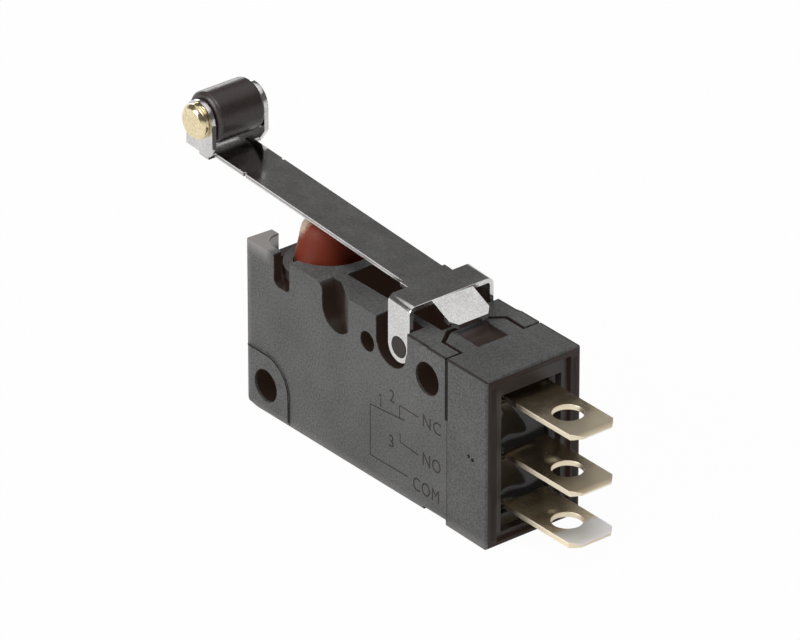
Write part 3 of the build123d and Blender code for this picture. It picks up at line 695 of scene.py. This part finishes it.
def wire(name, points):
    """One open line of edges drawn through points in space."""
    bpy.ops.mesh.primitive_plane_add(size=MM, location=points[0])
    obj = bpy.context.active_object
    obj.name = obj.data.name = name
    settle(obj)
    edit_whole()
    bpy.ops.mesh.merge(type="CENTER")
    for here, there in zip(points, points[1:]):
        bpy.ops.mesh.extrude_vertices_move(TRANSFORM_OT_translate={"value": there - here})
    bpy.ops.object.mode_set(mode="OBJECT")
    return obj


# Boot, drawn as radius and height from its top, first down its outside and then up its inside
PLUNGER_X = 2.48
WELL_FLOOR = 10.35
BOOT_TOP = 16.1
BOOT_OUTSIDE = ((0.0, 0.0), (0.7, -0.01), (1.3, -0.08), (1.8, -0.28), (2.2, -0.62), (2.42, -1.0),
                (2.55, -1.5), (2.66, -2.2), (2.8, -2.8), (2.93, -3.3), (3.02, -3.9), (3.05, -4.4),
                (3.05, -5.35))
BOOT_INSIDE = ((3.85, -5.35), (3.85, -5.73), (2.5, -5.73), (2.5, -4.1), (2.1, -2.4), (1.9, -1.3),
               (1.45, -0.62), (0.0, -0.59))
ROUND_STEPS = 64


def turned(name, outline, centre):
    """A shell spun about the upright axis through centre from (radius, height) points."""
    obj = wire(name, [centre + Vector((radius, 0, height)) * MM for radius, height in outline])
    edit_whole()
    bpy.ops.mesh.spin(steps=ROUND_STEPS, angle=2 * math.pi, center=centre, axis=UP)
    bpy.ops.object.mode_set(mode="OBJECT")
    face_out(merge=MERGE)
    return obj


def flatten_with_plunger(obj, foot):
    """Give a piece that stands on its foot a mesh of its own."""
    tuple(place(PLUNGER_X, 0, foot))
    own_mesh(obj)
    tuple(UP)


boot = turned("boot", BOOT_OUTSIDE + BOOT_INSIDE, place(PLUNGER_X, 0, BOOT_TOP))
smooth(boot, 50.0)
fit(boot, boot_rubber, "housing", "rubber_boot")
flatten_with_plunger(boot, WELL_FLOOR)

# Snap spring, which in the real switch flattens as the plunger comes down
SPRING_FOOT, SPRING_TOP = 4.2, 6.99
leaf = copy_of("snap_spring", "snap_leaf")
fit(leaf, spring_copper, "housing", "snap_spring")
flatten_with_plunger(leaf, SPRING_FOOT)

# Sealing compound with its edges drawn up on the rim and the tabs
SEAL_LEFT, SEAL_FACE = 26.5, 28.4
SEAL_HALF, SEAL_LOW, SEAL_HIGH = 3.235, -1.885, 11.285
SEAL_STEPS_ACROSS, SEAL_STEPS_UP = 52, 106
TAB_HALF, TAB_THICK = 2.375, 0.5
TAB_LEVELS = (10.43, 5.0, 0.0)
MENISCUS, MENISCUS_REACH = 0.65, 0.5
WAVE, WAVE_ACROSS, WAVE_START, WAVE_UP = 0.06, 1.7, 0.9, 1.1


def seal_rise(y, z):
    """How far the compound stands out at a point, highest where it meets the rim or a tab."""
    gap = min(SEAL_HALF - abs(y), z - SEAL_LOW, SEAL_HIGH - z)
    for height in TAB_LEVELS:
        aside = max(abs(y) - TAB_HALF, 0.0)
        above = max(abs(z - height) - TAB_THICK / 2, 0.0)
        gap = min(gap, math.hypot(aside, above))
    wave = WAVE * math.sin(WAVE_ACROSS * y + WAVE_START) * math.sin(WAVE_UP * z)
    return MENISCUS * math.exp(-max(gap, 0.0) / MENISCUS_REACH) + wave * min(gap, 1.0)


def pour_seal():
    quarter = math.pi / 2
    bpy.ops.mesh.primitive_grid_add(x_subdivisions=SEAL_STEPS_ACROSS, y_subdivisions=SEAL_STEPS_UP, size=1.0,
                                    location=place(SEAL_LEFT, 0, (SEAL_LOW + SEAL_HIGH) / 2),
                                    rotation=(quarter, 0, quarter))
    obj = bpy.context.active_object
    obj.name = obj.data.name = "seal_pour"
    obj.scale = (2 * SEAL_HALF * MM, (SEAL_HIGH - SEAL_LOW) * MM, 1)
    settle(obj)
    edit_whole()
    bpy.ops.mesh.extrude_region_move(TRANSFORM_OT_translate={"value": ((SEAL_FACE - SEAL_LEFT) * MM, 0, 0)})
    bpy.ops.object.mode_set(mode="OBJECT")
    for vertex in obj.data.vertices:
        if vertex.select:
            _, y, z = vertex.co / MM - HOME
            vertex.co.x += seal_rise(y, z) * MM
    face_out()
    smooth(obj, 40.0)
    fit(obj, resin, "housing", "potting_seal")


pour_seal()

# Lines and letters that are cut into the faces, and inks that also paint shade in seams and grooves
MARK_STROKE, MARK_LIFT = 0.17, 0.012
LETTER_DEPTH, LETTER_SPACE = 0.02, 1.12
LETTER_MERGE = 0.001 * MM
LOW_GLOSS = 0.12
mark_and_shade_ink = moulded("mark groove and painted shade", (0.032, 0.027, 0.025), (0.05, 0.044, 0.041), (0.5, 0.6))
seam_shade_ink = moulded("painted seam shade", (0.008, 0.006, 0.005), (0.012, 0.009, 0.008), (0.6, 0.7))
for ink in (mark_and_shade_ink, seam_shade_ink):
    ink.node_tree.nodes["Principled BSDF"].inputs["Specular IOR Level"].default_value = LOW_GLOSS


def made_mesh(name):
    """The active text or curve as a mesh piece."""
    bpy.ops.object.convert(target="MESH")
    obj = bpy.context.active_object
    obj.name = obj.data.name = name
    return obj


def inked_line(name, places, wide, flatten, ink):
    """A low line of even width along points in space, pressed flat in one direction."""
    only(wire(name, places))
    bpy.ops.object.convert(target="CURVE")
    curve = bpy.context.active_object.data
    curve.bevel_depth = wide * MM / 2
    curve.bevel_resolution = 1
    curve.use_fill_caps = True
    line = made_mesh(name)
    edit_whole()
    bpy.ops.transform.resize(value=flatten, center_override=places[0])
    bpy.ops.object.mode_set(mode="OBJECT")
    face_out()
    settle(line)
    fit(line, ink, "housing")


def stroke(name, points, wide=MARK_STROKE, half=BODY_HALF, ink=mark_and_shade_ink):
    """A line on a front face."""
    inked_line(name, [place(x, -half, z) for x, z in points], wide, (1, 2 * MARK_LIFT / wide, 1), ink)


def lettering(name, words, left, low, tall, wide):
    """Words on the front face, as wide and tall as given."""
    bpy.ops.object.text_add(location=(0, 0, 0))
    text = bpy.context.active_object.data
    text.body = words
    text.extrude = LETTER_DEPTH
    text.space_character = LETTER_SPACE
    obj = made_mesh(name)
    x_low, y_low = obj.bound_box[0][:2]
    x_high, y_high = obj.bound_box[6][:2]
    across, up = wide * MM / (x_high - x_low), tall * MM / (y_high - y_low)
    obj.scale = (across, up, MARK_LIFT * MM / LETTER_DEPTH)
    obj.rotation_euler = (math.pi / 2, 0, 0)
    obj.location = place(left, -BODY_HALF, low) - Vector((x_low * across, 0, y_low * up))
    settle(obj)
    face_out(merge=LETTER_MERGE)
    fit(obj, mark_and_shade_ink, "housing")


# Circuit diagram
stroke("mark_common", ((19.4, -0.5), (14.3, -0.58), (14.3, 4.4), (19.0, 4.8)))
stroke("mark_closed", ((18.3, 4.8), (18.3, 5.98), (20.85, 5.94)))
stroke("mark_open", ((18.35, 3.3), (18.4, 2.45), (20.8, 2.25)))
stroke("mark_1", ((15.5, 5.7), (15.75, 6.0), (15.75, 4.75)))
lettering("mark_2", "2", left=16.95, low=5.85, tall=1.2, wide=0.65)
lettering("mark_3", "3", left=16.85, low=1.4, tall=1.2, wide=0.65)
lettering("mark_nc", "NC", left=21.45, low=5.35, tall=1.2, wide=2.4)
lettering("mark_no", "NO", left=21.45, low=1.6, tall=1.25, wide=2.4)
lettering("mark_com", "COM", left=20.15, low=-1.35, tall=1.3, wide=3.5)

# Painted shade on the front face: in the step round the left pad, in the seam between the case and the end
# block, and in two mould pits
PAD_RADIUS = 3.1
PAD_FOOT, PAD_SIDE = -2.35, -2.5
PAD_ARC = [math.radians(step) for step in range(-3, 82, 7)]
pad_curve = [(PAD_RADIUS * math.cos(turn), PAD_RADIUS * math.sin(turn)) for turn in PAD_ARC]
stroke("pad_step_shade", [(PAD_RADIUS, PAD_FOOT), *pad_curve, (PAD_SIDE, PAD_RADIUS)], 0.18, PAD_HALF, seam_shade_ink)
SEAM_X, SEAM_LOW_X = 24.76, 24.86
SEAM_HIGH, SEAM_MIDDLE, SEAM_FOOT = 13.2, 7.4, -2.5
stroke("end_seam_shade", ((SEAM_X, SEAM_HIGH), (SEAM_X, SEAM_MIDDLE)), 0.4, PAD_HALF, seam_shade_ink)
stroke("end_seam_shade_low", ((SEAM_LOW_X, SEAM_MIDDLE), (SEAM_LOW_X, SEAM_FOOT)), 0.07, PAD_HALF)
stroke("mould_pit_shade", ((27.7, 5.4), (27.85, 5.12)), 0.36, PAD_HALF, seam_shade_ink)
stroke("mould_pit_shade_low", ((28.22, 5.24), (28.34, 4.95)), 0.46, PAD_HALF, seam_shade_ink)

# Painted shade in grooves down the two sides of the sleeve's end face
GROOVE_SIDE, GROOVE_WIDE = 4.45, 0.55
GROOVE_LOW, GROOVE_HIGH = -2.2, 12.5
for name, side in (("sleeve_groove_shade_front", -1), ("sleeve_groove_shade_back", 1)):
    ends = [place(SLEEVE_END, side * GROOVE_SIDE, z) for z in (GROOVE_LOW, GROOVE_HIGH)]
    inked_line(name, ends, GROOVE_WIDE, (2 * MARK_LIFT / GROOVE_WIDE, 1, 1), mark_and_shade_ink)

# Floor, room and lamps
FLOOR_SIZE = 6.0
FLOOR_GREY = (0.86, 0.86, 0.86, 1)
SEEN_GLOW, MIRRORED_GLOW = 0.97, 0.35
ROOM_FILL = 0.55
ROOM_SHADES = ((0.0, 0.8), (0.1, 0.5), (0.24, 0.13), (0.5, 0.135), (0.64, 0.1), (0.76, 0.7), (0.88, 1.0))
LAMP_DISTANCE, LAMP_SIZE = 0.8, 0.5


def pale_floor():
    """A floor that takes shadows, and glows white where the camera sees it bare."""
    bpy.ops.mesh.primitive_plane_add(size=FLOOR_SIZE, location=(0, 0, cad_low.z))
    floor = bpy.context.active_object
    floor.name = "floor"
    material = bpy.data.materials.new("pale floor")
    material.use_nodes = True
    tree = material.node_tree
    tree.nodes.clear()
    output = tree.nodes.new("ShaderNodeOutputMaterial")
    diffuse = tree.nodes.new("ShaderNodeBsdfDiffuse")
    diffuse.inputs["Color"].default_value = FLOOR_GREY
    glow = tree.nodes.new("ShaderNodeEmission")
    path = tree.nodes.new("ShaderNodeLightPath")
    mix = tree.nodes.new("ShaderNodeMixShader")
    share = calculate(tree, "ADD", product(tree, path.outputs["Is Camera Ray"], SEEN_GLOW),
                      product(tree, path.outputs["Is Glossy Ray"], MIRRORED_GLOW))
    link(tree, share, mix.inputs[0])
    link(tree, diffuse.outputs[0], mix.inputs[1])
    link(tree, glow.outputs[0], mix.inputs[2])
    link(tree, mix.outputs[0], output.inputs["Surface"])
    dress(floor, material)


def studio_world():
    """A white room with a darker band at mid height, which the flat metal faces mirror."""
    world = bpy.data.worlds.new("studio")
    scene.world = world
    world.use_nodes = True
    tree = world.node_tree
    background = tree.nodes["Background"]
    where = tree.nodes.new("ShaderNodeTexCoord")
    height = parted(tree, where.outputs["Generated"])[2]
    shades = tree.nodes.new("ShaderNodeValToRGB")
    stops = shades.color_ramp.elements
    stops[0].position, stops[1].position = ROOM_SHADES[0][0], ROOM_SHADES[-1][0]
    for position, _ in ROOM_SHADES[1:-1]:
        stops.new(position)
    for stop, (_, level) in zip(stops, ROOM_SHADES):
        stop.color = (level, level, level, 1)
    link(tree, height, shades.inputs[0])
    path = tree.nodes.new("ShaderNodeLightPath")
    seen = blend_colours(tree, path.outputs["Is Camera Ray"], shades.outputs["Color"], (1, 1, 1))
    link(tree, seen, background.inputs["Color"])
    dim = remap(tree, path.outputs["Is Diffuse Ray"], 0.0, 1.0, 1.0, ROOM_FILL)
    link(tree, dim, background.inputs["Strength"])


def soft_lamp(name, turn, rise, power):
    """A round soft lamp that shines at the middle of the part, from angles in degrees."""
    back = direction(math.radians(turn), math.radians(rise))
    data = bpy.data.lights.new(name, "AREA")
    data.shape = "DISK"
    data.size = LAMP_SIZE
    data.energy = power
    lamp = bpy.data.objects.new(name, data)
    lamp.location = back * LAMP_DISTANCE
    lamp.rotation_euler = (-back).to_track_quat("-Z", "Y").to_euler()
    scene.collection.objects.link(lamp)


pale_floor()
studio_world()
soft_lamp("front lamp", turn=-18, rise=24, power=4.3)
soft_lamp("top lamp", turn=40, rise=74, power=1.9)
soft_lamp("rim lamp", turn=-110, rise=9, power=1.6)

scene.view_settings.view_transform = "Standard"
